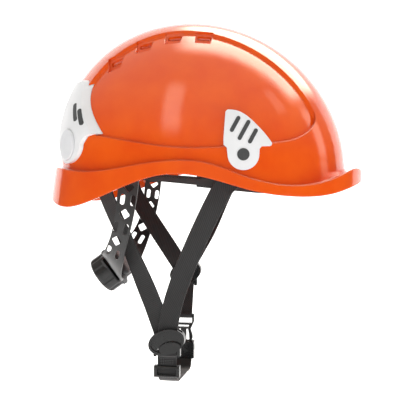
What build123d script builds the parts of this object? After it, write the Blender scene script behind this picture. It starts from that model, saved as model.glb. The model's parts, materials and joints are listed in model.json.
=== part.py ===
"""Climbing helmet with a textile cradle, a ratchet nape adjuster and a four-point buckled chin strap.

Millimetres. +X is forward, +Y is the wearer's left, +Z is up. The origin is the middle of the head
opening, at the height of the headband.
"""
from build123d import *
from math import atan2, cos, degrees, hypot, pi, radians, sin, sqrt
import os

os.makedirs("parts", exist_ok=True)

# ---------------------------------------------------------------- driving dimensions
DOME_X = 139.5          # half length of the dome
DOME_Y = 103.0          # half width of the dome
DOME_Z = 135.1          # height of the dome above its widest level
DOME_BASE = 20.5        # height of the widest level
DOME_SHIFT = 2.0        # the widest level sits this far forward of the origin
LEAN = -0.084           # the dome's middle moves back as it rises
DOME_DROP = 48.0        # how far the wall runs on below the widest level
WALL = 2.8              # skirt wall
PANEL = 3.0             # depth of the side panels below the ridge and belt
SKIN = 2.0              # shell wall in the side panels
POD = 2.2               # wall round a vent pocket
VENT_AT = ((-74, 109.8), (-47.5, 125.2), (-20.5, 132.2), (7, 131.8))

WEB = 18.0              # webbing width
WEB_T = 1.5             # webbing thickness

BAND_X, BAND_Y = 97.6, 81.6     # headband half length and half width, outer face
BAND_T = 1.6
PIVOT = (-58.0, 8.0)            # where a nape arm turns on the headband, in X and Z
PIN_R = 3.0

KNOB_R = 19.0
KNOB_H = 15.6
NAPE_TILT = 36.0                # the knob's axis points back and this far down
NAPE_AT = (-88.0, 0.0, -86.3)   # middle of the knob's seat
PINION_R = 6.0                  # pitch radius of the pinion and so of the two strips
PINION_TEETH = 12
STRIP_T = 2.0

CHIN_PIVOT = (-27.0, -53.1, -157.9)     # bar of the right divider
CHIN_SPAN = 95.4                        # from that bar to the buckle
BUCKLE_Z = -170.6                       # mouth of the buckle socket
DIVIDER_L = (-19.5, 56.3, -99.0)


# ---------------------------------------------------------------- helpers
def save(part, name):
    part.label = name
    export_step(part, "parts/" + name + ".step")


def lean(part):
    """Shear a part so that X grows by LEAN for every unit of Z: turn, stretch, turn back."""
    first = 0.5 * atan2(2 * LEAN, -LEAN * LEAN)
    along = (cos(first) + LEAN * sin(first), sin(first))
    across = (-sin(first) + LEAN * cos(first), cos(first))
    second = atan2(along[1], along[0])
    turned = part.rotate(Axis.Y, degrees(first))
    stretched = scale(turned, by=(hypot(*along), 1, hypot(*across)), mode=Mode.PRIVATE)
    return stretched.rotate(Axis.Y, -degrees(second))


def dome(inset):
    """The solid dome, every face moved in by inset (out when negative)."""
    rx = DOME_X - inset
    with BuildPart() as body:
        with BuildSketch(Plane.XZ):
            with BuildLine():
                arc = EllipticalCenterArc((0, 0), rx, DOME_Z - inset, start_angle=0, arc_size=90)
                Polyline(arc @ 1, (0, -DOME_DROP), (rx + 1.5, -DOME_DROP), arc @ 0)
            make_face()
        revolve(axis=Axis.Z)
    wide = scale(body.part, by=(1, (DOME_Y - inset) / rx, 1), mode=Mode.PRIVATE)
    return lean(wide).moved(Location((DOME_SHIFT, 0, DOME_BASE)))


def on_dome(x, z, side, inset=0.0):
    """Point and outward direction of the dome at x and z, on the side of that sign of Y."""
    dz = z - DOME_BASE
    dx = x - DOME_SHIFT - LEAN * dz
    rx, ry, rz = DOME_X - inset, DOME_Y - inset, DOME_Z - inset
    y = side * ry * sqrt(1 - (dx / rx) ** 2 - (dz / rz) ** 2)
    slope = Vector(dx / rx**2, y / ry**2, dz / rz**2 - LEAN * dx / rx**2)
    return Vector(x, y, z), slope.normalized()


def side_prism(curve_maker, half=150):
    """A prism along Y, both ways, of the closed outline that curve_maker draws in X and Z."""
    with BuildPart() as prism:
        with BuildSketch(Plane.XZ):
            with BuildLine():
                curve_maker()
            make_face()
        extrude(amount=half, both=True)
    return prism.part


def webbing(stations, width=WEB, thick=WEB_T):
    """Flat strap through stations of (point, outward direction)."""
    points = [Vector(*p) for p, _ in stations]
    with BuildPart() as strap:
        for i, (_, outward) in enumerate(stations):
            before, after = points[max(i - 1, 0)], points[min(i + 1, len(points) - 1)]
            along = (after - before).normalized()
            across = along.cross(Vector(*outward)).normalized()
            with BuildSketch(Plane(origin=points[i], x_dir=across, z_dir=along)):
                Rectangle(width, thick)
        loft(ruled=True)
    return strap.part


# ---------------------------------------------------------------- shell
def lower_edge():
    Spline(
        (-156, 0), (-142, -14.6), (-120, -21.2), (-92, -15.3), (-60, -2.4), (-30, 7.3), (-5, 8.7),
        (20, 3.9), (50, -4.8), (90, -10.5), (120, -9), (148, -0.9), (166, 5.8),
    )


def ledge(drop):
    """Upper edge of the flared skirt and peak, lowered by drop."""
    pts = (
        (-156, 15), (-139, 15.6), (-108, 11.6), (-71, 13), (-42, 17.7), (-16, 20.3), (6, 19.5),
        (27, 14), (44, 7.4), (62, 2.1), (88, -1.1), (116, 2.6), (135, 10), (149, 14), (160, 8.8),
        (166, 6.3),
    )
    return Spline(*[(x, z - drop) for x, z in pts])


def skirt_band(drop):
    """The prism between the ledge and the lower edge."""
    with BuildPart() as band:
        with BuildSketch(Plane.XZ):
            with BuildLine():
                top = ledge(drop)
                Polyline(top @ 0, (-156, -60), (166, -60), top @ 1)
            make_face()
        extrude(amount=150, both=True)
    return band.part


def below_edge():
    """Everything under the lower edge."""
    with BuildPart() as under:
        with BuildSketch(Plane.XZ):
            with BuildLine():
                lower_edge()
                Polyline((-156, 0), (-170, 0), (-170, -60), (180, -60), (180, 5.8), (166, 5.8))
            make_face()
        extrude(amount=150, both=True)
    return under.part


def flare(inset):
    """Skirt that widens downwards, with the peak in front, moved in by inset."""
    with BuildPart() as body:
        with BuildSketch(Plane.XY.offset(24)):
            Ellipse(142.0 - inset, 107.0 - inset)
        with BuildSketch(Plane.XY.offset(-28)):
            Ellipse(149.5 - inset, 111.5 - inset)
        loft()
        with BuildSketch(Plane.XY.offset(-28)):
            with Locations((31, 0)):
                Ellipse(127.5 - inset, 100 - inset)
        extrude(amount=52)
    return body.part


def panel_outline():
    """Belt and ends of a side panel, open past the ridge."""
    corner = (-87, 43.2)
    Spline(corner, (-42, 35), (-7, 31.1), (27, 31.9), (69, 35.6), (96, 43), (106.5, 54), (105, 68.3))
    Polyline((105, 68.3), (105, 155), (-102, 155), (-102, 85.3))
    Spline((-102, 85.3), (-101.5, 77.5), (-96, 59.8), corner)


def ridge_sides():
    """Everything outside the upright sides of the ridge."""
    edge = ((150, 57), (105, 55), (82, 54.3), (25, 50.5), (-18, 47), (-60, 48.5), (-98.6, 52.7), (-150, 62))
    with BuildPart() as outside:
        with BuildSketch(Plane.XY.offset(-10)):
            with BuildLine():
                Spline(*edge)
                Polyline(edge[-1], (-150, 160), (150, 160), edge[0])
            make_face()
            mirror(about=Plane.XZ)
        extrude(amount=180)
    return outside.part


def vent(x, z, side, wall=0.0):
    """Pocket under the ridge with a steep back and a level floor, or the pod of that wall round it."""
    point, outward = on_dome(x, z, side, PANEL)
    forward = (Vector(1, 0, 0) - outward * outward.X).normalized()
    upward = outward.cross(forward) * -side
    up = -side
    if wall:
        wedge = (
            (8 + wall, -1.3), (8 + wall, -3.2), (-3.6 - wall / 2, -4.8 - wall), (-8.5 - wall, -1.3),
        )
    else:
        wedge = ((8, 0), (-3.6, -4.8), (-8.5, 0), (-10.5, 2), (-10.5, 9), (8, 9))
    with BuildPart() as cut:
        with BuildSketch(Plane(origin=point, x_dir=upward, z_dir=upward.cross(outward))):
            with BuildLine():
                Polyline(*wedge, close=True)
            make_face()
        extrude(amount=15, both=True)
        with BuildSketch(Plane(origin=point, x_dir=forward, z_dir=outward).offset(-14)):
            with BuildLine():
                Polyline(
                    (-7.5, -13 * up), (5.5, -13 * up), (9.5, 13 * up), (-7.5, 13 * up), close=True
                )
            make_face()
            if wall:
                offset(amount=wall)
        extrude(amount=28, mode=Mode.INTERSECT)
    return cut.part


def vent_slot(x, z, side):
    """Cutter for the slot through a pocket's back."""
    point, outward = on_dome(x, z, side, PANEL)
    forward = (Vector(1, 0, 0) - outward * outward.X).normalized()
    with BuildPart() as cut:
        with BuildSketch(Plane(origin=point, x_dir=forward, z_dir=outward).offset(-12)):
            with Locations((0.6, -3.3 * side)):
                RectangleRounded(12.5, 4.6, 1.5)
        extrude(amount=14)
    return cut.part


with BuildPart() as shell:
    add(dome(0))
    with BuildPart(mode=Mode.PRIVATE) as skirt:
        add(flare(0))
        add(skirt_band(0), mode=Mode.INTERSECT)
    add(skirt.part)
    with BuildPart(mode=Mode.PRIVATE) as panels:
        add(side_prism(panel_outline))
        add(ridge_sides(), mode=Mode.INTERSECT)
        add(dome(PANEL), mode=Mode.SUBTRACT)
    add(panels.part, mode=Mode.SUBTRACT)
    add(dome(PANEL + SKIN), mode=Mode.SUBTRACT)
    with BuildPart(mode=Mode.PRIVATE) as under_skirt:
        add(flare(WALL))
        add(skirt_band(WALL), mode=Mode.INTERSECT)
    add(under_skirt.part, mode=Mode.SUBTRACT)
    add(below_edge(), mode=Mode.SUBTRACT)
    for x, z in VENT_AT:
        for side in (-1, 1):
            add(vent(x, z, side, POD))
            add(vent(x, z, side), mode=Mode.SUBTRACT)
            add(vent_slot(x, z, side), mode=Mode.SUBTRACT)
save(shell.part, "shell")

# ---------------------------------------------------------------- front lamp clips
CLIP_T = 2.6            # how far a clip stands off the belt
INLAY_T = 0.4
BUTTON_R = 14.2


def clip_outline():
    top = Line((26.8, 38), (28.2, 60.5))
    crown = ThreePointArc(top @ 1, (29.4, 62.8), (32, 63.4))
    bow = Spline(crown @ 1, (42, 61), (54, 51.5), (63, 41.8), (67.3, 36))
    tip = ThreePointArc(bow @ 1, (67.4, 33.7), (65, 32.6))
    waist = Polyline(tip @ 1, (59, 32.4), (57.2, 30), (56.9, 25))
    lobe = ThreePointArc(waist @ 1, (43.6, 12.2), (30.3, 25))
    Polyline(lobe @ 1, (29.6, 31), (26.9, 33.6), top @ 0)


def skin(prism, side, low, high):
    """The part of a prism between two levels over the dome, on one side."""
    with BuildPart() as piece:
        add(prism)
        add(dome(-high), mode=Mode.INTERSECT)
        add(dome(-low), mode=Mode.SUBTRACT)
        with Locations((0, -side * 150, 0)):
            Box(400, 300, 400, mode=Mode.SUBTRACT)
    return piece.part


def clip_marks():
    """Grip bars of a front clip: three slanted bars over one dot."""
    with BuildPart() as marks:
        with BuildSketch(Plane.XZ):
            for x, z, length in ((36.5, 51, 15), (44, 46, 19), (51.5, 41, 14)):
                with Locations(Location((x, z), 62)):
                    SlotOverall(length, 3.4)
            with Locations((43.5, 25.5)):
                Circle(5.2)
        extrude(amount=150, both=True)
    return marks.part


for side, name in ((-1, "right"), (1, "left")):
    with BuildPart() as front_clip:
        add(skin(side_prism(clip_outline), side, -PANEL, CLIP_T))
        add(shell.part, mode=Mode.SUBTRACT)
    save(front_clip.part, "front_clip_" + name)
    save(skin(clip_marks(), side, CLIP_T + 0.01, CLIP_T + INLAY_T), "front_marks_" + name)


# ---------------------------------------------------------------- rear clip plate
def rear_outline():
    """Half of the plate seen from behind, in Y and Z."""
    head = Line((0, 97), (42, 96))
    shoulder = ThreePointArc(head @ 1, (50.3, 94), (53.4, 88))
    edge = Spline(shoulder @ 1, (58.8, 77.5), (69.8, 59.8), (78.8, 44.4))
    heel = Polyline(edge @ 1, (73.5, 42.4), (70.3, 36))
    lobe = ThreePointArc(heel @ 1, (54, 18.6), (37.5, 31))
    arch = Spline(lobe @ 1, (26, 41), (0, 46), tangents=((-0.6, 0.8), (-1, 0)))
    Line(arch @ 1, (0, 97))


def rear_prism(curve_maker):
    """A prism forward from behind of an outline and of its mirror image."""
    with BuildPart() as prism:
        with BuildSketch(Plane.YZ.offset(-170)):
            with BuildLine():
                curve_maker()
            make_face()
            mirror(about=Plane.YZ)
        extrude(amount=100)
    return prism.part


def button_plane(side):
    point, outward = on_dome(-117.8, 36, side)
    return Plane(origin=point, x_dir=(0, 0, 1), z_dir=outward)


with BuildPart() as rear_clip:
    add(rear_prism(rear_outline))
    add(dome(-CLIP_T), mode=Mode.INTERSECT)
    add(dome(PANEL), mode=Mode.SUBTRACT)
    add(shell.part, mode=Mode.SUBTRACT)
    for side in (-1, 1):
        with BuildSketch(button_plane(side).offset(-3)):
            Circle(BUTTON_R + 0.3)
        extrude(amount=12, mode=Mode.SUBTRACT)
save(rear_clip.solids().sort_by(SortBy.VOLUME)[-1], "rear_clip")

with BuildPart() as rear_marks:
    for y, z, length in ((58.0, 65.5, 19), (66.3, 60.5, 17)):
        for side in (-1, 1):
            with BuildSketch(Plane.YZ.offset(-170)):
                with Locations(Location((side * y, z), -side * 62)):
                    SlotOverall(length, 3.6)
            extrude(amount=100)
    add(dome(-CLIP_T - INLAY_T), mode=Mode.INTERSECT)
    add(dome(-CLIP_T - 0.01), mode=Mode.SUBTRACT)
save(rear_marks.part, "rear_marks")

with BuildPart() as rear_buttons:
    for side in (-1, 1):
        at = button_plane(side)
        with BuildPart(mode=Mode.PRIVATE) as button:
            with BuildSketch(at.offset(-3)):
                Circle(BUTTON_R)
            extrude(amount=3 + CLIP_T + 0.9)
            chamfer(button.edges().sort_by(Axis((0, 0, 0), at.z_dir))[-1], 0.7)
        add(button.part)
    add(dome(-0.02), mode=Mode.SUBTRACT)
save(rear_buttons.part, "rear_buttons")


# ---------------------------------------------------------------- headband and sweatband
def band_side():
    Polyline(
        (2.5, -2.3), (55, -8), (110, -12), (110, 25), (45, 21), (12, 13.5), (5, 9), (2.5, 6.5), close=True
    )


with BuildPart() as headband:
    with BuildSketch(Plane.XY.offset(-25)):
        Ellipse(BAND_X, BAND_Y)
        Ellipse(BAND_X - BAND_T, BAND_Y - BAND_T, mode=Mode.SUBTRACT)
    extrude(amount=60)
    add(side_prism(band_side), mode=Mode.INTERSECT)
save(headband.part, "headband")


def pad_side():
    Polyline((52, -8.5), (110, -13), (110, 26), (52, 22), close=True)


with BuildPart() as sweatband:
    with BuildSketch(Plane.XY.offset(-25)):
        Ellipse(BAND_X - BAND_T - 0.2, BAND_Y - BAND_T - 0.2)
        Ellipse(BAND_X - BAND_T - 5.2, BAND_Y - BAND_T - 5.2, mode=Mode.SUBTRACT)
    extrude(amount=60)
    add(side_prism(pad_side), mode=Mode.INTERSECT)
save(sweatband.part, "sweatband")


def strip_side():
    Polyline(
        (-58, 5.4), (-46, 3.8), (2, -0.6), (24, -1.8), (24, 8), (2, 4.4), (-46, 8), (-58, 11.5),
        close=True,
    )


for side, name in ((-1, "right"), (1, "left")):
    with BuildPart() as side_strip:
        with BuildSketch(Plane.XY.offset(-5)):
            with BuildLine():
                Polyline(
                    (24, side * 81.8), (-4, side * 81.8), (-46, side * 75.0), (-70, side * 75.0),
                    (-70, side * 76.8), (-46, side * 76.8), (-4, side * 83.6), (24, side * 83.6),
                    close=True,
                )
            make_face()
        extrude(amount=30)
        with BuildPart(mode=Mode.PRIVATE) as profile:
            add(side_prism(strip_side))
            with BuildSketch(Plane.XZ):
                with Locations(PIVOT):
                    Circle(9)
            extrude(amount=150, both=True)
        add(profile.part, mode=Mode.INTERSECT)
        with BuildSketch(Plane.XZ):
            with Locations(PIVOT):
                Circle(PIN_R + 0.02)
        extrude(amount=150, both=True, mode=Mode.SUBTRACT)
    save(side_strip.part, "side_strip_" + name)

    with BuildPart() as arm_pin:
        with BuildSketch(Plane.XZ.offset(-side * 73.2)):
            with Locations(PIVOT):
                Circle(5)
        extrude(amount=-side * 1.6)
        with BuildSketch(Plane.XZ.offset(-side * 74.8)):
            with Locations(PIVOT):
                Circle(PIN_R)
        extrude(amount=-side * 4.3)
        with BuildSketch(Plane.XZ.offset(-side * 79.1)):
            with Locations(PIVOT):
                Circle(5)
        extrude(amount=-side * 1.4)
    save(arm_pin.part, "arm_pin_" + name)


# ---------------------------------------------------------------- suspension keys and cradle
KEYS = {"front": (100.0, 6.0, 24.0), "middle": (34.0, 1.0, 24.0), "rear": (-86.0, -2.0, 24.0)}
INNER_X, INNER_Y = DOME_X - PANEL - WALL, DOME_Y - PANEL - WALL


def key_plane(x, side):
    """Plane on the inner wall at x: Z axis outwards, X axis up."""
    y = side * INNER_Y * sqrt(1 - ((x - DOME_SHIFT) / INNER_X) ** 2)
    outward = Vector((x - DOME_SHIFT) / INNER_X**2, y / INNER_Y**2, 0).normalized()
    return Plane(origin=(x, y, 0), x_dir=(0, 0, 1), z_dir=outward)


for where, (x, low, high) in KEYS.items():
    with BuildPart() as key:
        for side in (-1, 1):
            at = key_plane(x, side)
            with BuildSketch(at.offset(-6.2)):
                with Locations(((low + high) / 2, 0)):
                    RectangleRounded(high - low, 17, 2.5)
            extrude(amount=5.2)
            if where != "rear":
                with BuildSketch(at.offset(-45)):
                    with Locations((9.6, 0)):
                        Rectangle(2.8, 9)
                extrude(amount=40)
        if where != "rear":
            with BuildSketch(Plane.XY.offset(-30)):
                Ellipse(BAND_X + 0.05, BAND_Y + 0.05)
            extrude(amount=90, mode=Mode.SUBTRACT)
    save(key.part, "key_" + where)


def cradle_strap(start, end, apex):
    """Arched webbing between two points on the inner wall, in an upright plane."""
    a, b = Vector(*start), Vector(*end)
    half = (b - a).length / 2
    across = (b - a).normalized()
    at = Plane(origin=(a + b) / 2, x_dir=across, z_dir=across.cross(Vector(0, 0, 1)))
    rise = apex - start[2]
    with BuildPart() as strap:
        with BuildSketch(at):
            with BuildLine():
                outer = EllipticalCenterArc((0, 0), half, rise, start_angle=0, arc_size=180)
                inner = EllipticalCenterArc((0, 0), half - 1.3, rise - 1.3, start_angle=0, arc_size=180)
                Line(outer @ 0, inner @ 0)
                Line(outer @ 1, inner @ 1)
            make_face()
        extrude(amount=7.5, both=True)
    return strap.part


def strap_foot(x, side, inward):
    """Foot of a cradle strap: on the head side of a key."""
    at = key_plane(x, side)
    point = at.origin - at.z_dir * inward
    return (point.X, point.Y, 11.6)


save(cradle_strap(strap_foot(34, -1, 8.2), strap_foot(34, 1, 8.2), 108.0), "cradle_across")
save(cradle_strap(strap_foot(-86, -1, 11), strap_foot(100, 1, 11), 118.0), "cradle_diagonal_a")
save(cradle_strap(strap_foot(-86, 1, 11), strap_foot(100, -1, 11), 120.2), "cradle_diagonal_b")

# ---------------------------------------------------------------- nape adjuster
def nape_plane(level):
    """Plane across the knob's axis: X axis to the left, Y axis down and forward, Z axis outwards."""
    tilt = radians(NAPE_TILT)
    outward = Vector(-cos(tilt), 0, -sin(tilt))
    return Plane(origin=Vector(*NAPE_AT) + outward * level, x_dir=(0, 1, 0), z_dir=outward)


def collar(half_t):
    """Band that wraps the nape, drawn across the knob's axis; its middle layer lies 9 below the seat."""
    seat = nape_plane(0)
    at = Plane(origin=seat.origin, x_dir=(0, 1, 0), z_dir=seat.y_dir)
    with BuildPart() as band:
        with BuildSketch(at):
            with BuildLine():
                inner = JernArc((32.2, 9 + half_t), (1, 0), 45.8 - half_t, 90)
                outer = JernArc((32.2, 9 - half_t), (1, 0), 45.8 + half_t, 90)
                inner_run = PolarLine(inner @ 1, 42, direction=inner % 1)
                outer_run = PolarLine(outer @ 1, 42, direction=outer % 1)
                Line(inner @ 0, outer @ 0)
                Line(inner_run @ 1, outer_run @ 1)
            make_face()
        extrude(amount=90, both=True)
    return band.part


def arm_side():
    Spline((-67, 2), (-68.5, -14), (-75.5, -47), (-90, -68))
    Polyline((-90, -68), (-81, -81.2), (-72, -93.3))
    Spline((-72, -93.3), (-66.5, -75.8), (-57, -43), (-49, 2))
    ThreePointArc((-49, 2), (PIVOT[0], 17.5), (-67, 2))


def lattice():
    """Cutters of an arm's openings: squares on edge, with pairs of narrow openings between."""
    with BuildPart() as holes:
        with BuildSketch(Plane.XZ):
            for x, z, turn in ((-58.8, -14.2, 8), (-65.4, -39.2, 14), (-74.6, -62.5, 26)):
                with Locations(Location((x, z), -turn)):
                    for s in (-1, 1):
                        with Locations((s * 4.7, 0)):
                            RectangleRounded(4.2, 9.6, 1.9)
            for x, z, turn in ((-57.4, -2.4, 51), (-61.9, -27, 57), (-69.8, -51, 63)):
                with Locations(Location((x, z), -turn)):
                    RectangleRounded(7.4, 7.4, 1.2)
        extrude(amount=150, both=True)
    return holes.part


for side, name in ((-1, "right"), (1, "left")):
    with BuildPart() as arm:
        add(collar(0.9))
        add(side_prism(arm_side), mode=Mode.INTERSECT)
        add(lattice(), mode=Mode.SUBTRACT)
        with BuildSketch(Plane.XZ):
            with Locations(PIVOT):
                Circle(PIN_R + 0.1)
        extrude(amount=150, both=True, mode=Mode.SUBTRACT)
    whole = arm.part if side == 1 else arm.part.mirror(Plane.XZ)
    save(whole, "arm_" + name)

with BuildPart() as housing:
    with BuildSketch(nape_plane(-10)):
        RectangleRounded(64, 31, 6)
    extrude(amount=6)
    with BuildSketch(nape_plane(-6.4)):
        Rectangle(80, 25.2)
    extrude(amount=2.4, mode=Mode.SUBTRACT)
    with BuildSketch(nape_plane(-8)):
        Circle(4)
    extrude(amount=4, mode=Mode.SUBTRACT)
save(housing.part, "housing")

with BuildPart() as cover:
    with BuildSketch(nape_plane(-4)):
        RectangleRounded(64, 31, 6)
    extrude(amount=1.6)
    with BuildSketch(nape_plane(-2.4)):
        Circle(KNOB_R + 1.4)
    extrude(amount=2.1)
    with BuildSketch(nape_plane(-4)):
        Circle(3.6)
    extrude(amount=4, mode=Mode.SUBTRACT)
save(cover.part, "housing_cover")

with BuildPart() as nape_pad:
    with BuildSketch(nape_plane(-18)):
        RectangleRounded(60, 28, 8)
    extrude(amount=7.8)
    fillet(nape_pad.faces().sort_by(Axis((0, 0, 0), nape_plane(0).z_dir))[0].edges(), 3)
save(nape_pad.part, "nape_pad")

MODULE = 2 * PINION_R / PINION_TEETH


def tooth(width, addendum):
    """Straight-flanked tooth on the pitch line, pointing along +X."""
    root = width / 2 + 0.36 * MODULE
    crest = width / 2 - 0.30 * MODULE * addendum / 0.8
    Polygon((-1.0, -root), (-1.0, root), (addendum, crest), (addendum, -crest), align=None)


TOOTH = pi * MODULE / 2 - 0.36          # tooth width on the pitch line, with backlash

for sign, name in ((1, "left"), (-1, "right")):
    with BuildPart() as strip:
        with BuildSketch(nape_plane(-6.2)):
            with Locations((sign * 14, sign * (PINION_R + 3.7))):
                Rectangle(56, 5.6)
            for i in range(-4, 12):
                spot = Location((sign * MODULE * pi * (i + 0.5), sign * PINION_R), -90 * sign)
                with Locations(spot):
                    tooth(TOOTH, 0.72)
            with Locations((sign * 37, sign * (PINION_R + 2.3))):
                Rectangle(10, 8.4)
        extrude(amount=STRIP_T)
    save(strip.part, "strip_" + name)

with BuildPart() as pinion:
    with BuildSketch(nape_plane(-6.2)):
        Circle(PINION_R - 0.95)
        for i in range(PINION_TEETH):
            turn = 360 / PINION_TEETH * i + 90
            spot = Location((PINION_R * cos(radians(turn)), PINION_R * sin(radians(turn))), turn)
            with Locations(spot):
                tooth(TOOTH, 0.72)
    extrude(amount=STRIP_T)
    with BuildSketch(nape_plane(-4.2)):
        Circle(3.5)
    extrude(amount=12.1)
    with BuildSketch(nape_plane(-7.9)):
        Circle(3.9)
    extrude(amount=1.7)
save(pinion.part, "pinion")

with BuildPart() as knob:
    with BuildSketch(nape_plane(0.1)):
        Circle(KNOB_R)
    extrude(amount=KNOB_H)
    top = knob.faces().sort_by(Axis((0, 0, 0), nape_plane(0).z_dir))[-1]
    fillet(top.edges(), 3.2)
    with BuildSketch(nape_plane(0)):
        with PolarLocations(KNOB_R + 3.4, 9):
            Circle(4.6)
    extrude(amount=KNOB_H + 2, mode=Mode.SUBTRACT)
    with BuildSketch(nape_plane(0)):
        Circle(14.5)
    extrude(amount=2.6, mode=Mode.SUBTRACT)
    with BuildSketch(nape_plane(0)):
        Circle(3.52)
    extrude(amount=8, mode=Mode.SUBTRACT)
    with BuildSketch(nape_plane(8)):
        Circle(1.6)
    extrude(amount=10, mode=Mode.SUBTRACT)
    with BuildSketch(nape_plane(KNOB_H - 2.4)):
        Circle(4.0)
    extrude(amount=4, mode=Mode.SUBTRACT)
save(knob.part, "knob")

with BuildPart() as knob_screw:
    with BuildSketch(nape_plane(8)):
        Circle(1.5)
    extrude(amount=KNOB_H - 10.35)
    with BuildSketch(nape_plane(KNOB_H - 2.35)):
        Circle(3.4)
    extrude(amount=1.8)
    with BuildSketch(nape_plane(KNOB_H - 1.2)):
        Rectangle(4.6, 0.9)
        Rectangle(0.9, 4.6)
    extrude(amount=2, mode=Mode.SUBTRACT)
save(knob_screw.part, "knob_screw")

with BuildPart() as click_spring:
    with BuildSketch(nape_plane(-0.3)):
        Circle(13.4)
        Circle(11.8, mode=Mode.SUBTRACT)
        with PolarLocations(12.6, 3):
            Rectangle(2.8, 4.0)
    extrude(amount=2.0)
save(click_spring.part, "click_spring")


# ---------------------------------------------------------------- chin harness
LEFTWARD = Vector(0.0684, 0.99766, 0)       # from the right divider to the buckle
FORWARD = Vector(0.99766, -0.0684, 0)
UP = Vector(0, 0, 1)
RIGHT_BAR = Vector(*CHIN_PIVOT)
LEFT_BAR = Vector(*DIVIDER_L) - UP * 11


def chin_plane(level=0.0):
    """Upright plane of the chin strap: X axis to the left, Y axis up, Z axis forward."""
    return Plane(origin=RIGHT_BAR + FORWARD * level, x_dir=LEFTWARD, z_dir=FORWARD)


def divider(bar, side):
    """Oval side divider with a channel for two straps and a bar for the webbing below."""
    x = -side
    at = Plane(origin=bar + UP * 11, x_dir=FORWARD * x, z_dir=LEFTWARD * side)
    with BuildPart() as body:
        with BuildSketch(at.offset(-3.8)):
            with Locations(Location((0, 0), 18 * x)):
                Ellipse(17.5, 11.8)
        extrude(amount=7.6)
        with BuildSketch(at.offset(3.8)):
            with Locations(Location((0, 0), 18 * x)):
                Ellipse(17.5, 11.8)
                Ellipse(15.0, 9.3, mode=Mode.SUBTRACT)
        extrude(amount=0.9)
        with BuildSketch(at.offset(3.8)):
            with Locations(Location((3.5 * x, -5.0), 12 * x)):
                Ellipse(10.5, 5.6)
        extrude(amount=2.2)
        with BuildSketch(at.offset(-2.3)):
            Polygon(
                (-12.5 * x, -16), (10.2 * x, -16), (10.6 * x, 0), (17 * x, 16), (-27 * x, 16),
                (-14.5 * x, -1), align=None,
            )
        extrude(amount=4.6, mode=Mode.SUBTRACT)
        with BuildSketch(at.offset(-4)):
            with Locations((0, -12)):
                Rectangle(19.2, 11)
        extrude(amount=7.8, mode=Mode.SUBTRACT)
        with BuildSketch(at.offset(-2.6)):
            for s in (-1, 1):
                with Locations((s * 11.1, -8.5)):
                    RectangleRounded(3.0, 11, 1.0)
        extrude(amount=5.2)
        with BuildSketch(Plane(origin=bar - FORWARD * 12.6, x_dir=LEFTWARD, z_dir=FORWARD)):
            Circle(1.6)
        extrude(amount=25.2)
    return body.part


save(divider(RIGHT_BAR, -1), "divider_right")
save(divider(LEFT_BAR, 1), "divider_left")


def strap_top(x, side):
    """Stitched end of a chin strap on the head side of a key."""
    at = key_plane(x, side)
    point = at.origin - at.z_dir * 7.3
    return (point.X, point.Y, 3.8), tuple(at.z_dir)


def channel(bar, side, layer, height, ahead=0.0):
    """Point in a divider's channel; layer 1 is the outer strap, layer -1 the inner one."""
    return tuple(bar + LEFTWARD * (side * layer * 1.27) + UP * height + FORWARD * ahead)


OUT_R, OUT_L = tuple(LEFTWARD * -1), tuple(LEFTWARD)
STRAPS = {
    "front_strap_right": (
        strap_top(34, -1), ((24.5, -86.5, -5.5), (0, -1, 0)), ((-3.3, -70, -63.2), (0.1, -1, 0)),
        ((-19.5, -59, -105.8), (0, -1, 0)), (channel(RIGHT_BAR, -1, 1, 24, 1.3), OUT_R),
        (channel(RIGHT_BAR, -1, 1, 6), OUT_R),
    ),
    "rear_strap_right": (
        strap_top(-86, -1), ((-80.5, -67.0, -10), (-0.55, -0.83, 0)),
        ((-62, -58.5, -56.7), (-0.55, -0.83, 0)), ((-42, -54.3, -106.9), (-0.2, -0.98, 0)),
        (channel(RIGHT_BAR, -1, -1, 25, -6), OUT_R), (channel(RIGHT_BAR, -1, -1, 10, -0.8), OUT_R),
    ),
    "front_strap_left": (
        strap_top(34, 1), ((24.5, 86.5, -5.5), (0, 1, 0)), ((4, 74, -52.4), (0.1, 1, 0)),
        ((-8.5, 61.8, -75.2), (0, 1, 0)), (channel(LEFT_BAR, 1, 1, 24, 5.2), OUT_L),
        (channel(LEFT_BAR, 1, 1, 6), OUT_L),
    ),
    "rear_strap_left": (
        strap_top(-86, 1), ((-77.5, 66.0, -12), (-0.5, 0.86, 0)), ((-61, 61.5, -38.2), (-0.4, 0.92, 0)),
        ((-37.5, 57.6, -73.2), (-0.15, 0.98, 0)), (channel(LEFT_BAR, 1, -1, 21, -7.5), OUT_L),
        (channel(LEFT_BAR, 1, -1, 12, -2.0), OUT_L),
    ),
}
for name, stations in STRAPS.items():
    save(webbing(stations), name)

EYE_IN, EYE_OUT = 1.75, 3.2


def eye(at):
    """Stitched loop of webbing round a bar, drawn in the chin plane."""
    with Locations(at):
        Circle(EYE_OUT)


PLUG_RISE = -2.7         # the plug hangs this far above the chin plane's origin
PLUG_BAR = (CHIN_SPAN, 17.7 + PLUG_RISE)
left_eye = (LEFT_BAR - RIGHT_BAR).dot(LEFTWARD), (LEFT_BAR - RIGHT_BAR).Z

with BuildPart() as buckle_webbing:
    with BuildSketch(chin_plane(-WEB / 2)):
        eye(left_eye)
        eye(PLUG_BAR)
        fall = Vector(left_eye[0] - PLUG_BAR[0], left_eye[1] - PLUG_BAR[1])
        middle = ((left_eye[0] + PLUG_BAR[0]) / 2, (left_eye[1] + PLUG_BAR[1]) / 2)
        with Locations(Location(middle, degrees(atan2(fall.Y, fall.X)))):
            Rectangle(fall.length - 4, 2 * WEB_T)
        for at in (left_eye, PLUG_BAR):
            with Locations(at):
                Circle(EYE_IN, mode=Mode.SUBTRACT)
    extrude(amount=WEB)
save(buckle_webbing.part, "buckle_webbing")


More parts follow.
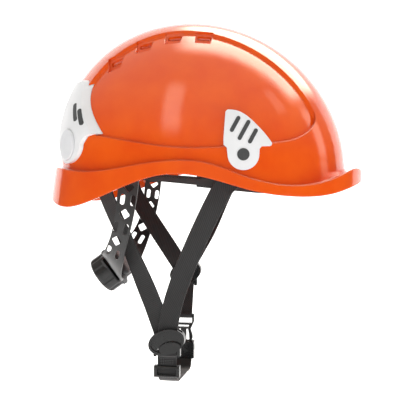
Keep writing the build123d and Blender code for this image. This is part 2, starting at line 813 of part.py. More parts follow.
def buckle_plane(level):
    """Plane of the plug's face, this far to its left: X axis forward, Y axis up, Z axis right."""
    middle = RIGHT_BAR + LEFTWARD * (CHIN_SPAN + level) + UP * PLUG_RISE
    return Plane(origin=middle, x_dir=FORWARD, z_dir=LEFTWARD * -1)


MOUTH = BUCKLE_Z - CHIN_PIVOT[2]        # mouth of the socket in the chin plane
SOCKET_LOW = MOUTH - 19
REACH = MOUTH - PLUG_RISE               # the same mouth in the plug's plane

with BuildPart() as plug:
    with BuildSketch(buckle_plane(2)) as frame:
        Polygon((-11.4, 19), (11.4, 19), (11.4, 11), (7.8, 3), (-7.8, 3), (-11.4, 11), align=None)
        fillet(frame.vertices(), 1.2)
        with Locations((0, 14.2)):
            Rectangle(18.5, 9.7, mode=Mode.SUBTRACT)
        with Locations((0, 6.1)):
            Rectangle(11.6, 2.2, mode=Mode.SUBTRACT)
    extrude(amount=4)
    with BuildSketch(chin_plane(-10.4)):
        with Locations(PLUG_BAR):
            Circle(1.6)
    extrude(amount=20.8)
    with BuildSketch(buckle_plane(1.5)):
        Polygon(
            (-3, 3.5), (3, 3.5), (3, REACH - 10), (2, REACH - 11.5), (-2, REACH - 11.5),
            (-3, REACH - 10), align=None,
        )
    extrude(amount=3)
save(plug.part, "buckle_plug")


def release_arm(s):
    """One springy arm of the plug, with its catch; s is the sign of its forward offset."""
    with BuildPart() as arm:
        with BuildSketch(buckle_plane(1.5)):
            with BuildLine():
                back = Spline((s * 4.8, 2.6), (s * 6.0, -5), (s * 5.9, REACH - 1))
                tip = Polyline(
                    back @ 1, (s * 5.9, REACH - 10.5), (s * 7.9, REACH - 10.5), (s * 10.5, REACH - 8.4),
                    (s * 10.5, REACH - 4.4), (s * 8.8, REACH - 4.0), (s * 8.8, REACH + 1),
                )
                Spline(tip @ 1, (s * 9.7, REACH + 5.5), (s * 8.8, -1), (s * 7.6, 2.6))
                Line((s * 7.6, 2.6), (s * 4.8, 2.6))
            make_face()
        extrude(amount=3)
    return arm.part


save(release_arm(1), "release_arm_front")
save(release_arm(-1), "release_arm_rear")

with BuildPart() as socket:
    with BuildSketch(chin_plane(-11.2)):
        with Locations((CHIN_SPAN + 1.1, (MOUTH + SOCKET_LOW) / 2)):
            RectangleRounded(9.2, MOUTH - SOCKET_LOW, 1.2)
    extrude(amount=22.4)
    with BuildSketch(chin_plane(-9.5)):
        with Locations((CHIN_SPAN + 1.1, MOUTH - 6)):
            Rectangle(6.4, 14)
    extrude(amount=19, mode=Mode.SUBTRACT)
    with BuildSketch(chin_plane(-14)):
        with Locations((CHIN_SPAN + 0.3, MOUTH - 6.6)):
            Rectangle(4.2, 5.6)
    extrude(amount=28, mode=Mode.SUBTRACT)
    with BuildSketch(chin_plane(-9.4)):
        with Locations((CHIN_SPAN, SOCKET_LOW + 1.5)):
            Rectangle(2.2, 4.0)
    extrude(amount=18.8, mode=Mode.SUBTRACT)
save(socket.part, "buckle_socket")

with BuildPart() as chin_webbing:
    with BuildSketch(chin_plane(-WEB / 2)):
        with BuildLine():
            drop = Line((0, -2.6), (0, -20))
            Spline(
                drop @ 1, (10, -28.7), (32, -32.5), (62, -36.4), (86, -38.7), (CHIN_SPAN, SOCKET_LOW + 2.5),
                tangents=((0, -1), (0, 1)),
            )
        trace(line_width=WEB_T)
        eye((0, 0))
        Circle(EYE_IN, mode=Mode.SUBTRACT)
    extrude(amount=WEB)
save(chin_webbing.part, "chin_webbing")

with BuildPart() as triglide:
    with BuildSketch(chin_plane(-12)):
        with Locations((0, -17)):
            RectangleRounded(6.8, 11, 1.8)
    extrude(amount=24)
    with BuildSketch(chin_plane(-9.5)):
        with Locations((0, -17)):
            Rectangle(2.4, 14)
    extrude(amount=19, mode=Mode.SUBTRACT)
    with BuildSketch(chin_plane(-9)):
        with Locations((-2.5, -17)):
            Rectangle(3, 6.4)
    extrude(amount=18, mode=Mode.SUBTRACT)
save(triglide.part, "triglide")
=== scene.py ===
"""Looks of the climbing helmet: moulded finishes, woven straps, sewn pads, a pale studio and the camera."""

import json
from math import atan2, cos, degrees, pi, radians, sin

import bmesh
import bpy
from mathutils import Matrix, Vector


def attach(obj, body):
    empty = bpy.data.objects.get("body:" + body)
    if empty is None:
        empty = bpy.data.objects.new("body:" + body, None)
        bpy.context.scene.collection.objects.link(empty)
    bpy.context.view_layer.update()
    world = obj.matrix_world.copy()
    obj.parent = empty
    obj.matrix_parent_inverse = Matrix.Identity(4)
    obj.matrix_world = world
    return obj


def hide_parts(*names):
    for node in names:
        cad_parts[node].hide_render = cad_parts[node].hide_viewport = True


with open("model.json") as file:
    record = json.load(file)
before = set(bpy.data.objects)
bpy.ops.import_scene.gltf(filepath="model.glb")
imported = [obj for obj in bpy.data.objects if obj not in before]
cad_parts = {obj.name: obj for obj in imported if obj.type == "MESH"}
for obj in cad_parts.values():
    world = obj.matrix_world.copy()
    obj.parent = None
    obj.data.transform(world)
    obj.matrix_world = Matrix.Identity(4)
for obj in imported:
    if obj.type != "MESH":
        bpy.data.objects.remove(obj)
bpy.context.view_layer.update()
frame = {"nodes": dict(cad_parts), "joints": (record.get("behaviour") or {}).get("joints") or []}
NODES = frame["nodes"]
JOINTS = {joint["name"]: joint for joint in frame["joints"]}
MM = 0.001
UP = Vector((0, 0, 1))
BLACK = (0, 0, 0, 1)
WHITE = (1, 1, 1, 1)


# ---------------------------------------------------------------- node helpers
class Graph:
    """A material's node tree, with short ways to add and join nodes."""

    def __init__(self, name):
        self.material = bpy.data.materials.new(name)
        self.material.use_nodes = True
        self.tree = self.material.node_tree
        self.shader = self.tree.nodes["Principled BSDF"]

    def add(self, kind, inputs=None, **settings):
        node = self.tree.nodes.new("ShaderNode" + kind)
        for key, value in settings.items():
            setattr(node, key, value)
        for key, value in (inputs or {}).items():
            self.put(node.inputs[key], value)
        return node

    def put(self, socket, value):
        """Join an output to the socket, or set the socket to a plain value."""
        if isinstance(value, bpy.types.NodeSocket):
            self.tree.links.new(value, socket)
        else:
            socket.default_value = value

    def shade(self, **sockets):
        """Feed the shader's sockets, named with _ for a space."""
        for key, value in sockets.items():
            self.put(self.shader.inputs[key.replace("_", " ")], value)

    def math(self, operation, a, b=0.0, c=0.0):
        return self.add("Math", {0: a, 1: b, 2: c}, operation=operation).outputs[0]

    def wave(self, position, length):
        """Sine of the position, repeating every length."""
        return self.math("SINE", self.math("MULTIPLY", position, 2 * pi / length))

    def noise(self, vector, scale, detail=3.0):
        return self.add("TexNoise", {"Vector": vector, "Scale": scale, "Detail": detail}).outputs["Fac"]

    def between(self, factor, low, high):
        """Number from low to high as factor goes from 0.3 to 0.7, the range noise mostly stays in."""
        limits = {"From Min": 0.3, "From Max": 0.7, "To Min": low, "To Max": high}
        return self.add("MapRange", {"Value": factor, **limits}).outputs["Result"]

    def mix(self, factor, first, second):
        node = self.add("Mix", data_type="RGBA")
        self.put(node.inputs["Factor"], factor)
        self.put(node.inputs[6], first)
        self.put(node.inputs[7], second)
        return node.outputs[2]

    def bump(self, height, distance, normal=None):
        node = self.add("Bump", {"Height": height, "Distance": distance})
        if normal is not None:
            self.put(node.inputs["Normal"], normal)
        return node.outputs["Normal"]

    def rounded(self, radius):
        return self.add("Bevel", {"Radius": radius}, samples=4).outputs["Normal"]

    def place(self):
        return self.add("TexCoord").outputs["Object"]


def rgb(code):
    """Linear colour of a hex sRGB code."""
    parts = [int(code[i:i + 2], 16) / 255 for i in (0, 2, 4)]
    return tuple(c / 12.92 if c <= 0.04045 else ((c + 0.055) / 1.055) ** 2.4 for c in parts) + (1.0,)


# ---------------------------------------------------------------- finishes
COLOUR_PATCHES = 40         # noise scale of the slow drift in colour
GLOSS_PATCHES = 124         # noise scale of the drift in gloss


def moulded(name, light, dark, rough, grain=0.02 * MM, grain_scale=2600, edge=0.5 * MM, **sockets):
    """Moulded plastic: slight drift of colour and gloss, fine grain, edges broken by a small radius."""
    g = Graph(name)
    at = g.place()
    drift = g.between(g.noise(at, COLOUR_PATCHES, 4), 0, 1)
    normal = g.rounded(edge) if edge else None
    g.shade(Base_Color=g.mix(drift, rgb(dark), rgb(light)),
            Roughness=g.between(g.noise(at, GLOSS_PATCHES, 5), rough[0], rough[1]),
            Normal=g.bump(g.noise(at, grain_scale, 2), grain, normal), **sockets)
    return g.material


def woven(name, light, dark, pitch=1.25):
    """Twill webbing: slanting ribs crossed by fine yarns, on UVs in millimetres across and along; its colour
    is painted shade, darker in the weave's grooves and lighter on its raised yarns, over a random fade.
    """
    g = Graph(name)
    uv = g.add("UVMap", uv_map="UVMap").outputs["UV"]
    across, along = g.add("SeparateXYZ", {"Vector": uv}).outputs[:2]
    stretched = g.add("VectorMath", {0: uv, 1: (0.35, 0.35, 0.0)}, operation="MULTIPLY").outputs[0]
    wobble = g.math("MULTIPLY", g.noise(stretched, 1.0), 0.7)
    slant = g.math("ADD", g.math("ADD", across, along), wobble)
    ribs = g.math("MULTIPLY", g.wave(slant, 2.0 * pitch), 0.55)
    yarns = g.math("MULTIPLY", g.wave(across, 0.62 * pitch), 0.28)
    picks = g.math("MULTIPLY", g.wave(along, 0.8 * pitch), 0.17)
    height = g.math("MULTIPLY_ADD", g.math("ADD", ribs, g.math("ADD", yarns, picks)), 0.5, 0.5)
    fade = g.noise(g.place(), 55)
    # painted shade: the colour follows the weave's height, darker in its grooves, mixed with a random fade
    hollow_shade_and_mottle = g.math("ADD", g.math("MULTIPLY", height, 0.75), g.math("MULTIPLY", fade, 0.4))
    g.shade(Base_Color=g.mix(hollow_shade_and_mottle, rgb(dark), rgb(light)), Roughness=g.between(fade, 0.62, 0.78),
            Normal=g.bump(height, 0.12 * MM), Sheen_Weight=0.25, Sheen_Roughness=0.45, Specular_IOR_Level=0.3)
    return g.material


def fabric(name, light, dark):
    """Knitted pad cover: small cells, painted darker in their hollows as shade, over a soft mottle."""
    g = Graph(name)
    at = g.place()
    cells = g.add("TexVoronoi", {"Vector": at, "Scale": 1400}, feature="F1").outputs["Distance"]
    mottle = g.noise(at, 90, 4)
    # painted shade: the colour follows the cells' height, darker in their hollows, mixed with a random mottle
    hollow_shade_and_mottle = g.math("ADD", g.math("MULTIPLY", cells, 0.8), g.math("MULTIPLY", mottle, 0.4))
    g.shade(Base_Color=g.mix(hollow_shade_and_mottle, rgb(dark), rgb(light)), Roughness=g.between(mottle, 0.8, 0.95),
            Normal=g.bump(cells, 0.18 * MM), Sheen_Weight=0.5)
    return g.material


SHELL = moulded("shell orange", "EC5A08", "E54E04", (0.09, 0.15), grain=0.012 * MM, grain_scale=700,
                edge=1.6 * MM, Coat_Weight=0.6, Coat_Roughness=0.04, Specular_IOR_Level=0.5)
CLIP = moulded("clip white", "EBECEF", "E4E6E9", (0.30, 0.40), edge=0.8 * MM, Specular_IOR_Level=0.45)
BUTTON = moulded("button white", "DFE1E5", "D8DADE", (0.36, 0.46), edge=0.6 * MM)
MARK = moulded("mark grey", "46484A", "3A3C3E", (0.4, 0.5), edge=0.0)
HARNESS = moulded("harness black", "2B2B2C", "222223", (0.30, 0.42), grain=0.03 * MM, grain_scale=1900,
                  edge=0.4 * MM, Specular_IOR_Level=0.55)
BUCKLE = moulded("buckle black", "1C1D1F", "131415", (0.20, 0.30), edge=1.0 * MM,
                 Coat_Weight=0.15, Coat_Roughness=0.1, Specular_IOR_Level=0.3)
HOUSING = moulded("housing black", "1E1E20", "171718", (0.38, 0.50), grain=0.03 * MM, edge=0.6 * MM)
KNOB = moulded("knob grey", "202122", "1A1B1C", (0.28, 0.40), grain=0.03 * MM, edge=0.7 * MM)
PIN = moulded("pin black", "262627", "1C1C1D", (0.25, 0.35), edge=0.4 * MM)
STEEL = moulded("steel", "B8BABC", "9A9C9E", (0.25, 0.38), grain=0.01 * MM, edge=0.3 * MM, Metallic=1.0)
# in these fabrics the darker colour is reached in the grooves and hollows as painted shade, and in their
# random mottle
WEBBING = woven("webbing black", "323233", "0E0E0F")
CRADLE = woven("cradle webbing", "3C3C3E", "161617", pitch=1.6)
PAD = fabric("pad black", "3A3A3C", "161617")
THREAD = moulded("thread", "5A5A5C", "3C3C3E", (0.6, 0.75), edge=0.0)

# each finish and the CAD nodes that show it; the other nodes are stood for by pieces made below
FINISHES = (
    (SHELL, "shell"),
    (CLIP, "front_clip_left", "front_clip_right", "rear_clip"),
    (BUTTON, "rear_buttons"),
    (MARK, "front_marks_left", "front_marks_right", "rear_marks"),
    (HARNESS, "arm_left", "arm_right", "headband", "side_strip_left", "side_strip_right"),
    (HARNESS, "key_front", "key_middle", "key_rear", "strip_left", "strip_right"),
    (PIN, "pinion", "arm_pin_left", "arm_pin_right"),
    (HOUSING, "housing", "housing_cover"),
    (KNOB, "knob"),
    (STEEL, "knob_screw", "click_spring"),
    (BUCKLE, "divider_left", "divider_right", "triglide"),
    (BUCKLE, "buckle_plug", "buckle_socket", "release_arm_front", "release_arm_rear"),
)
for finish, *nodes in FINISHES:
    for node in nodes:
        NODES[node].data.materials.clear()
        NODES[node].data.materials.append(finish)


# ---------------------------------------------------------------- mesh helpers
def add_object(name, data):
    obj = bpy.data.objects.new(name, data)
    bpy.context.scene.collection.objects.link(obj)
    return obj


def shade_smooth(mesh):
    for poly in mesh.polygons:
        poly.use_smooth = True


def new_mesh(name, vertices, faces, material, uvs=None):
    """Smooth-shaded object; uvs gives one list of corners for each face."""
    mesh = bpy.data.meshes.new(name)
    mesh.from_pydata([tuple(v) for v in vertices], [], faces)
    if uvs:
        layer = mesh.uv_layers.new(name="UVMap")
        for poly, corners in zip(mesh.polygons, uvs):
            for loop, uv in zip(poly.loop_indices, corners):
                layer.data[loop].uv = uv
    mesh.update()
    shade_smooth(mesh)
    mesh.materials.append(material)
    return add_object(name, mesh)


PATH_STEP = 2 * MM


def rounded_path(stations):
    """Evenly stepped (point, outward) along a smooth curve through the stations."""
    points = [Vector(p) for p, _ in stations]
    outs = [Vector(o).normalized() for _, o in stations]
    made = []
    for i in range(len(points) - 1):
        p1, p2 = points[i], points[i + 1]
        p0 = points[i - 1] if i else p1 + (p1 - p2)
        p3 = points[i + 2] if i + 2 < len(points) else p2 + (p2 - p1)
        span = (p2 - p1).length
        m1 = (p2 - p0) / ((p1 - p0).length + span) * span
        m2 = (p3 - p1) / ((p3 - p2).length + span) * span
        count = max(2, round(span / PATH_STEP))
        for k in range(count):
            t = k / count
            h = (2 * t**3 - 3 * t**2 + 1, t**3 - 2 * t**2 + t, -2 * t**3 + 3 * t**2, t**3 - t**2)
            point = p1 * h[0] + m1 * h[1] + p2 * h[2] + m2 * h[3]
            made.append((point, outs[i].lerp(outs[i + 1], t * t * (3 - 2 * t))))
    made.append((points[-1], outs[-1]))
    return made


STRAP_WIDTH = 18 * MM
STRAP_THICK = 1.5 * MM
# quarter of a strap's section: share of the half width, share of the half thickness
SECTION = (
    (1.0, 0.0), (0.985, 0.55), (0.95, 0.9), (0.9, 1.0),     # rolled selvedge
    (0.86, 0.86), (0.6, 0.94), (0.3, 0.97), (0.0, 0.98),    # nearly flat face
)


def strap(name, path, width=STRAP_WIDTH, thick=STRAP_THICK, material=WEBBING, closed=False):
    """Woven strap along a path of (point, outward direction)."""
    upper = list(SECTION) + [(-a, b) for a, b in reversed(SECTION[:-1])]
    ring = upper + [(a, -b) for a, b in reversed(upper[1:-1])]
    n = len(ring)
    rows = len(path)
    vertices, lengths, run = [], [], 0.0
    for i, (point, outward) in enumerate(path):
        before = path[i - 1][0] if i or closed else point
        after = path[(i + 1) % rows][0] if i + 1 < rows or closed else point
        along = (after - before).normalized()
        across = along.cross(outward).normalized()
        normal = across.cross(along).normalized()
        if i:
            run += (point - path[i - 1][0]).length
        lengths.append(run)
        for a, b in ring:
            vertices.append(point + across * (a * width / 2) + normal * (b * thick / 2))
    spread = [a * width / 2 / MM for a, b in ring]
    faces, uvs = [], []
    for i in range(rows if closed else rows - 1):
        j = (i + 1) % rows
        low = lengths[i] / MM
        high = (lengths[j] if j else run + (path[0][0] - path[-1][0]).length) / MM
        for k in range(n):
            m = (k + 1) % n
            faces.append((i * n + k, i * n + m, j * n + m, j * n + k))
            uvs.append(((spread[k], low), (spread[m], low), (spread[m], high), (spread[k], high)))
    if not closed:
        faces.append(tuple(range(n - 1, -1, -1)))
        uvs.append([(spread[k], 0.0) for k in range(n - 1, -1, -1)])
        faces.append(tuple((rows - 1) * n + k for k in range(n)))
        uvs.append([(spread[k], lengths[-1] / MM) for k in range(n)])
    return new_mesh(name, vertices, faces, material, uvs)


def stand_in(piece, node, body):
    """Show the webbing piece in place of its CAD node, moving with the node's body."""
    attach(piece, body)
    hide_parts(node)


THREAD_RADIUS = 0.26 * MM
STITCH_PITCH = 2.1 * MM
STITCH_SHARE = 0.43         # half length of a stitch, as a share of the pitch


def stitches(name, runs):
    """Sewing thread: short stitches along each run of (start, end, outward), lying on the surface."""
    bm = bmesh.new()
    for start, end, outward in runs:
        length = (end - start).length
        along = (end - start).normalized()
        side = along.cross(outward.normalized()).normalized()
        turn = Matrix((along, side, along.cross(side))).transposed().to_4x4()
        count = max(1, round(length / STITCH_PITCH))
        size = Matrix.Diagonal((length / count * STITCH_SHARE, THREAD_RADIUS, THREAD_RADIUS, 1))
        for k in range(count):
            middle = start + along * (length * (k + 0.5) / count)
            at = Matrix.Translation(middle) @ turn @ size
            bmesh.ops.create_icosphere(bm, subdivisions=1, radius=1.0, matrix=at)
    mesh = bpy.data.meshes.new(name)
    bm.to_mesh(mesh)
    bm.free()
    shade_smooth(mesh)
    mesh.materials.append(THREAD)
    return add_object(name, mesh)


# ---------------------------------------------------------------- V straps
# The dividers' bars lie along FORWARD, the line that the chin strap swings about.
DROP = JOINTS["chin_strap_drop"]
FORWARD = -Vector(DROP["axis"])
LEFTWARD = UP.cross(FORWARD)
RIGHT_BAR = Vector(DROP["pos_m"])
LEFT_BAR = Vector((-19.5, 56.3, -110)) * MM
LAYER = 1.27 * MM           # from a divider's middle to the middle of either strap in its channel

# Each strap: side (1 left, -1 right), its divider's bar, layer (1 outer, -1 inner), then in millimetres
# the stations from the headband down as (x, distance out from the middle, z, outward x, outward y)
# and those inside the divider as (height over the bar, distance ahead of it).
V_STRAPS = {
    "front_strap_right": (-1, RIGHT_BAR, 1, (
        (32.7, 88, 3.8, 0.1757, 0.9844), (24.5, 86.5, -5.5, 0, 1),
        (-3.3, 70, -63.2, 0.1, 1), (-19.5, 59, -105.8, 0, 1),
    ), ((24, 1.3), (6, 0))),
    "rear_strap_right": (-1, RIGHT_BAR, -1, (
        (-82.1, 67.9, 3.8, -0.5333, 0.8459), (-80.5, 67, -10, -0.55, 0.83),
        (-62, 58.5, -56.7, -0.55, 0.83), (-42, 54.3, -106.9, -0.2, 0.98),
    ), ((25, -6), (10, -0.8))),
    "front_strap_left": (1, LEFT_BAR, 1, (
        (32.7, 88, 3.8, 0.1757, 0.9844), (24.5, 86.5, -5.5, 0, 1),
        (4, 74, -52.4, 0.1, 1), (-8.5, 61.8, -75.2, 0, 1),
    ), ((24, 5.2), (6, 0))),
    "rear_strap_left": (1, LEFT_BAR, -1, (
        (-82.1, 67.9, 3.8, -0.5333, 0.8459), (-77.5, 66, -12, -0.5, 0.86),
        (-61, 61.5, -38.2, -0.4, 0.92), (-37.5, 57.6, -73.2, -0.15, 0.98),
    ), ((21, -7.5), (12, -2))),
}
for node, (side, bar, layer, hanging, held) in V_STRAPS.items():
    stations = [
        (Vector((x, side * y, z)) * MM, (out_x, side * out_y, 0)) for x, y, z, out_x, out_y in hanging
    ]
    for height, ahead in held:
        point = bar + LEFTWARD * (side * layer * LAYER) + (UP * height + FORWARD * ahead) * MM
        stations.append((point, LEFTWARD * side))
    stand_in(strap("web_" + node, rounded_path(stations)), node, "helmet")


# ---------------------------------------------------------------- cradle
CRADLE_WIDTH = 15 * MM
CRADLE_THICK = 1.3 * MM
ARCH_STEPS = 120


def arch(start, end, apex):
    """Half-ellipse path over the head, whose outer face passes through start, end and apex height."""
    middle, half, rise = (start + end) / 2, (end - start).length / 2, apex - start.z
    across = (end - start).normalized()
    made = []
    for k in range(ARCH_STEPS + 1):
        t = pi * k / ARCH_STEPS
        point = middle - across * (half - CRADLE_THICK / 2) * cos(t) + UP * (rise - CRADLE_THICK / 2) * sin(t)
        outward = (-across * rise * cos(t) + UP * half * sin(t)).normalized()
        made.append((point, outward))
    return made


CRADLE_FOOT = 11.6          # height of the crown straps' ends, in millimetres
# each crown strap's two feet, as (x, y), and its apex height, in millimetres
CROWN_STRAPS = {
    "cradle_across": ((32.56, -87.12), (32.56, 87.12), 108),
    "cradle_diagonal_a": ((-80.13, -64.8), (93.26, 58.43), 118),
    "cradle_diagonal_b": ((-80.13, 64.8), (93.26, -58.43), 120.2),
}
for node, (start, end, apex) in CROWN_STRAPS.items():
    feet = [Vector((x, y, CRADLE_FOOT)) * MM for x, y in (start, end)]
    path = arch(feet[0], feet[1], apex * MM)
    piece = strap("web_" + node, path, width=CRADLE_WIDTH, thick=CRADLE_THICK, material=CRADLE)
    stand_in(piece, node, "helmet")


# ---------------------------------------------------------------- looped webbing of the chin harness
EYE_RADIUS = 2.48 * MM      # from a bar's axis to the middle of the webbing round it
HALF_GAP = 0.77 * MM        # between the middles of two layers of webbing, halved


def chin(y, z):
    """Point in the chin strap's upright plane, in millimetres left of and above the right divider's bar."""
    return RIGHT_BAR + (LEFTWARD * y + UP * z) * MM


def eye_loop(centre, first, last, steps):
    """Stations round a bar from angle first to last, in degrees from leftward towards up."""
    made = []
    for k in range(steps + 1):
        angle = radians(first + (last - first) * k / steps)
        out = LEFTWARD * cos(angle) + UP * sin(angle)
        made.append((centre + out * EYE_RADIUS, out))
    return made


CHIN_SPAN = 95.4            # from the right divider's bar across to the buckle, in millimetres
SOCKET_BOTTOM = -29.2       # where the webbing meets the buckle's socket
PLUG_BAR_UP = 15            # the buckle plug's bar over the right divider's bar

below = rounded_path((
    (chin(0, -6), -LEFTWARD), (chin(0, -20), -LEFTWARD), (chin(10, -28.7), LEFTWARD * -0.7 - UP * 0.7),
    (chin(32, -32.5), LEFTWARD * -0.1 - UP), (chin(62, -36.4), LEFTWARD * -0.1 - UP),
    (chin(86, -38.7), LEFTWARD * 0.3 - UP), (chin(CHIN_SPAN, SOCKET_BOTTOM), LEFTWARD),
))
stand_in(strap("web_chin", eye_loop(RIGHT_BAR, -60, 250, 22) + below), "chin_webbing", "chin_strap")

# The buckle webbing is a closed loop from the left divider's bar to the buckle plug's bar.
plug_bar = chin(CHIN_SPAN, PLUG_BAR_UP)
fall = (plug_bar - LEFT_BAR).normalized()
lean = atan2(fall.dot(UP), fall.dot(LEFTWARD))
normal = (LEFTWARD * -sin(lean) + UP * cos(lean)).normalized()
RUN_STEPS = 12
WRAP = 230                  # degrees that the webbing goes round each bar


def wrap(bar, start):
    """Stations round a bar, from start degrees past the direction in which the loop falls."""
    return eye_loop(bar, degrees(lean) + start, degrees(lean) + start + WRAP, 26)


def straight_run(start, end, outward):
    """Stations between two bars, on the outward side of the line that joins them."""
    return [(start.lerp(end, k / RUN_STEPS) + outward * HALF_GAP, outward) for k in range(1, RUN_STEPS)]


loop = wrap(LEFT_BAR, 65) + straight_run(LEFT_BAR, plug_bar, -normal)
loop += wrap(plug_bar, 245) + straight_run(plug_bar, LEFT_BAR, normal)
stand_in(strap("web_buckle", loop, closed=True), "buckle_webbing", "helmet")

# bar tacks: rows of stitches across the webbing, just clear of its face
TACK_ROWS = (-2.4, -0.8, 0.8, 2.4)      # millimetres along the webbing
TACK_HALF = FORWARD * (6.5 * MM)
TACKS = (
    ("tack_chin", "chin_strap", chin(-0.9, -7.4), UP, -LEFTWARD),
    ("tack_buckle", "helmet", LEFT_BAR.lerp(plug_bar, 0.32) + normal * (1.6 * MM), -fall, normal),
)
for name, body, centre, along, outward in TACKS:
    rows = [centre + along * (step * MM) for step in TACK_ROWS]
    piece = stitches(name, [(row - TACK_HALF, row + TACK_HALF, outward) for row in rows])
    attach(piece, body)


# ---------------------------------------------------------------- pads
PAD_VOXEL = 2.6 * MM
CLOTH_FRAMES = 20


def apply_modifiers(obj):
    graph = bpy.context.evaluated_depsgraph_get()
    evaluated = obj.evaluated_get(graph)
    made = bpy.data.meshes.new_from_object(evaluated, preserve_all_data_layers=True, depsgraph=graph)
    obj.modifiers.clear()
    obj.data = made


def relax(obj, iterations):
    obj.modifiers.new("Relax", "SMOOTH").iterations = iterations


def inflate(obj, pressure, limit):
    """Swell the mesh as cloth under pressure, no point going further than limit from where it started."""
    rest = [v.co.copy() for v in obj.data.vertices]
    cloth = obj.modifiers.new("Cloth", "CLOTH")
    cloth.settings.use_pressure = True
    cloth.settings.uniform_pressure_force = pressure
    cloth.settings.effector_weights.gravity = 0
    cloth.settings.quality = 4
    cloth.settings.tension_stiffness = 30
    cloth.point_cache.frame_start, cloth.point_cache.frame_end = 1, CLOTH_FRAMES
    for number in range(1, CLOTH_FRAMES + 1):
        bpy.context.scene.frame_set(number)
    apply_modifiers(obj)
    for vertex, home in zip(obj.data.vertices, rest):
        move = vertex.co - home
        if move.length > limit:
            vertex.co = home + move.normalized() * limit
    bpy.context.scene.frame_set(1)


def pad(node, body, pressure, limit):
    """Padded stand-in for a plain CAD pad: remeshed, inflated and smoothed."""
    obj = add_object("soft_" + node, NODES[node].data.copy())
    obj.data.materials.clear()
    obj.data.materials.append(PAD)
    bpy.context.view_layer.objects.active = obj
    remesh = obj.modifiers.new("Remesh", "REMESH")
    remesh.mode = "VOXEL"
    remesh.voxel_size = PAD_VOXEL
    relax(obj, 4)
    apply_modifiers(obj)
    inflate(obj, pressure, limit)
    relax(obj, 2)
    subdivide = obj.modifiers.new("Subdivide", "SUBSURF")
    subdivide.levels = subdivide.render_levels = 1
    apply_modifiers(obj)
    shade_smooth(obj.data)
    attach(obj, body)
    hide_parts(node)


pad("sweatband", "helmet", pressure=1.5, limit=1.6 * MM)
pad("nape_pad", "nape", pressure=2.5, limit=2.0 * MM)


# ---------------------------------------------------------------- studio lights
DOME = (0, 0, 0.05)         # inside the shell's dome
BAND = (0, 0, 0)            # middle of the headband
COOL = (0.955, 0.985, 1.0)
WARM = (1.0, 0.9, 0.76, 1)


def area(name, place, aim, size, power):
    """Soft light that reaches the helmet but doesn't show in its reflections."""
    data = bpy.data.lights.new(name, "AREA")
    data.shape = "RECTANGLE"
    data.size, data.size_y = size
    data.energy = power
    data.color = COOL
    obj = add_object(name, data)
    obj.location = place
    obj.rotation_euler = (Vector(aim) - Vector(place)).to_track_quat("-Z", "Y").to_euler()
    obj.visible_glossy = False


def card(name, place, aim, size, strength, soft=0.65):
    """Panel seen only in reflections; strength is its brightness in the middle, soft its fading share."""
    g = Graph(name)
    at = g.add("TexCoord").outputs["Generated"]
    fades = []
    for value in g.add("SeparateXYZ", {"Vector": at}).outputs[:2]:
        rim = g.math("MULTIPLY", g.math("ABSOLUTE", g.math("SUBTRACT", value, 0.5)), 2.0)
        limits = {"From Min": 1.0, "From Max": 1.0 - soft, "To Min": 0.0, "To Max": 1.0}
        fade = g.add("MapRange", {"Value": rim, **limits}, interpolation_type="SMOOTHSTEP")
        fades.append(fade.outputs["Result"])
    share = g.math("MULTIPLY", fades[0], fades[1])
    front = g.math("SUBTRACT", 1.0, g.add("NewGeometry").outputs["Backfacing"])
    g.shade(Base_Color=BLACK, Alpha=share, Emission_Color=WARM,
            Emission_Strength=g.math("MULTIPLY", share, g.math("MULTIPLY", front, strength)))
    w, h = size[0] / 2, size[1] / 2
    panel = new_mesh(name, ((-w, -h, 0), (w, -h, 0), (w, h, 0), (-w, h, 0)), [(0, 1, 2, 3)], g.material)
    panel.location = place
    panel.rotation_euler = (Vector(place) - Vector(aim)).to_track_quat("-Z", "Y").to_euler()
    panel.visible_camera = False
    panel.visible_diffuse = False
    panel.visible_shadow = False


# ---------------------------------------------------------------- studio floor and wall
FLOOR_Z = -0.26
SWEEP_HALF = 3.0            # half width of the floor, and how far it goes to the helmet's right
SWEEP_BEND = 1.0            # y where the floor starts to curve up
SWEEP_RADIUS = 0.8
SWEEP_TOP = 2.6
WALL_RADIUS = 2.9
WALL_TOP = 6.0
WALL_SIDES = 96


def studio_floor():
    """White floor that curves up beyond the helmet's left side."""
    profile = [(-SWEEP_HALF, FLOOR_Z), (SWEEP_BEND, FLOOR_Z)]
    for angle in range(5, 91, 5):
        along, rise = sin(radians(angle)), 1 - cos(radians(angle))
        profile.append((SWEEP_BEND + SWEEP_RADIUS * along, FLOOR_Z + SWEEP_RADIUS * rise))
    profile.append((SWEEP_BEND + SWEEP_RADIUS, SWEEP_TOP))
    points = [(x, y, z) for y, z in profile for x in (-SWEEP_HALF, SWEEP_HALF)]
    faces = [(2 * i, 2 * i + 1, 2 * i + 3, 2 * i + 2) for i in range(len(profile) - 1)]
    g = Graph("studio white")
    tint = g.mix(g.noise(g.place(), 2.0, 2), (0.86, 0.86, 0.87, 1), (0.9, 0.9, 0.9, 1))
    g.shade(Base_Color=tint, Roughness=0.9, Emission_Color=WHITE, Emission_Strength=0.7)
    new_mesh("studio_sweep", points, faces, g.material)


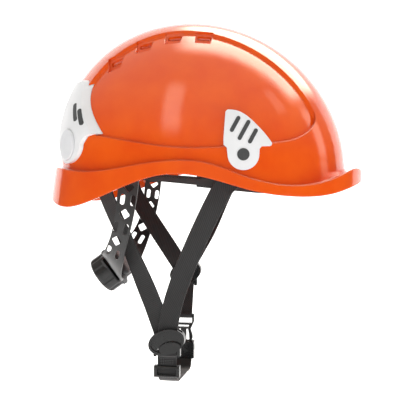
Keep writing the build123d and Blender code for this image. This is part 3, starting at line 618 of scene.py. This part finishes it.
def studio_wall():
    """Pale round backdrop for views from any side, seen by the camera only."""
    turns = [2 * pi * k / WALL_SIDES for k in range(WALL_SIDES)]
    ring = [(WALL_RADIUS * cos(turn), WALL_RADIUS * sin(turn)) for turn in turns]
    points = [(x, y, z) for z in (FLOOR_Z - 1.0, WALL_TOP) for x, y in ring]
    faces = []
    for k in range(WALL_SIDES):
        after = (k + 1) % WALL_SIDES
        faces.append((k, after, WALL_SIDES + after, WALL_SIDES + k))
    g = Graph("studio wall")
    haze = g.mix(g.noise(g.place(), 0.6, 2), (0.74, 0.75, 0.76, 1), (0.80, 0.81, 0.82, 1))
    g.shade(Base_Color=BLACK, Emission_Color=haze, Emission_Strength=1.0, Specular_IOR_Level=0.0)
    wall = new_mesh("studio_wall", points, faces, g.material)
    wall.visible_diffuse = False
    wall.visible_glossy = False
    wall.visible_transmission = False
    wall.visible_shadow = False


def studio_world():
    """Warm dome of light, dim at the horizon and bright overhead."""
    world = bpy.data.worlds.new("studio")
    bpy.context.scene.world = world
    world.use_nodes = True
    nodes, links = world.node_tree.nodes, world.node_tree.links
    background = nodes["Background"]
    background.inputs["Color"].default_value = (1, 0.94, 0.86, 1)
    direction = nodes.new("ShaderNodeTexCoord")
    split = nodes.new("ShaderNodeSeparateXYZ")
    brightness = nodes.new("ShaderNodeMapRange")
    brightness.interpolation_type = "SMOOTHSTEP"
    for key, value in (("From Min", -0.05), ("From Max", 1.0), ("To Min", 0.10), ("To Max", 0.85)):
        brightness.inputs[key].default_value = value
    links.new(direction.outputs["Generated"], split.inputs["Vector"])
    links.new(split.outputs["Z"], brightness.inputs["Value"])
    links.new(brightness.outputs["Result"], background.inputs["Strength"])


studio_floor()
studio_wall()
area("overhead", (-0.1, 0.5, 1.15), DOME, (2.2, 1.1), 10)
area("front_box", (0.80, 0.35, 1.15), DOME, (0.9, 0.55), 6)
area("fill", (0.2, -1.6, 0.7), BAND, (1.6, 1.2), 6.5)
area("side_left", (-1.6, 0.5, 0.4), BAND, (0.4, 1.0), 0.6)
card("softbox_top", (0.60, 0.62, 1.25), (0.35, 0.62, 0.05), (1.9, 2.2), 7.0, soft=0.45)
card("window", (-0.40, -1.20, 0.95), DOME, (0.50, 1.6), 2.6)
card("bounce_front", (1.10, -0.45, 1.05), DOME, (0.4, 0.7), 1.6)
card("strip_front", (1.5, 0.15, 0.55), BAND, (0.5, 1.3), 2.2)
studio_world()

# ---------------------------------------------------------------- camera
CAMERA_AT = Vector((0.0453, -0.6484, 0.0110))
CAMERA_AIM = Vector((0, 0, -0.0174))

camera_data = bpy.data.cameras.new("camera")
camera_data.sensor_width = 36
camera_data.lens = 58.5
camera = add_object("camera", camera_data)
camera.location = CAMERA_AT
camera.rotation_euler = (CAMERA_AIM - CAMERA_AT).to_track_quat("-Z", "Y").to_euler()
bpy.context.scene.camera = camera
bpy.context.scene.view_settings.view_transform = "Standard"
bpy.context.scene.view_settings.look = "None"
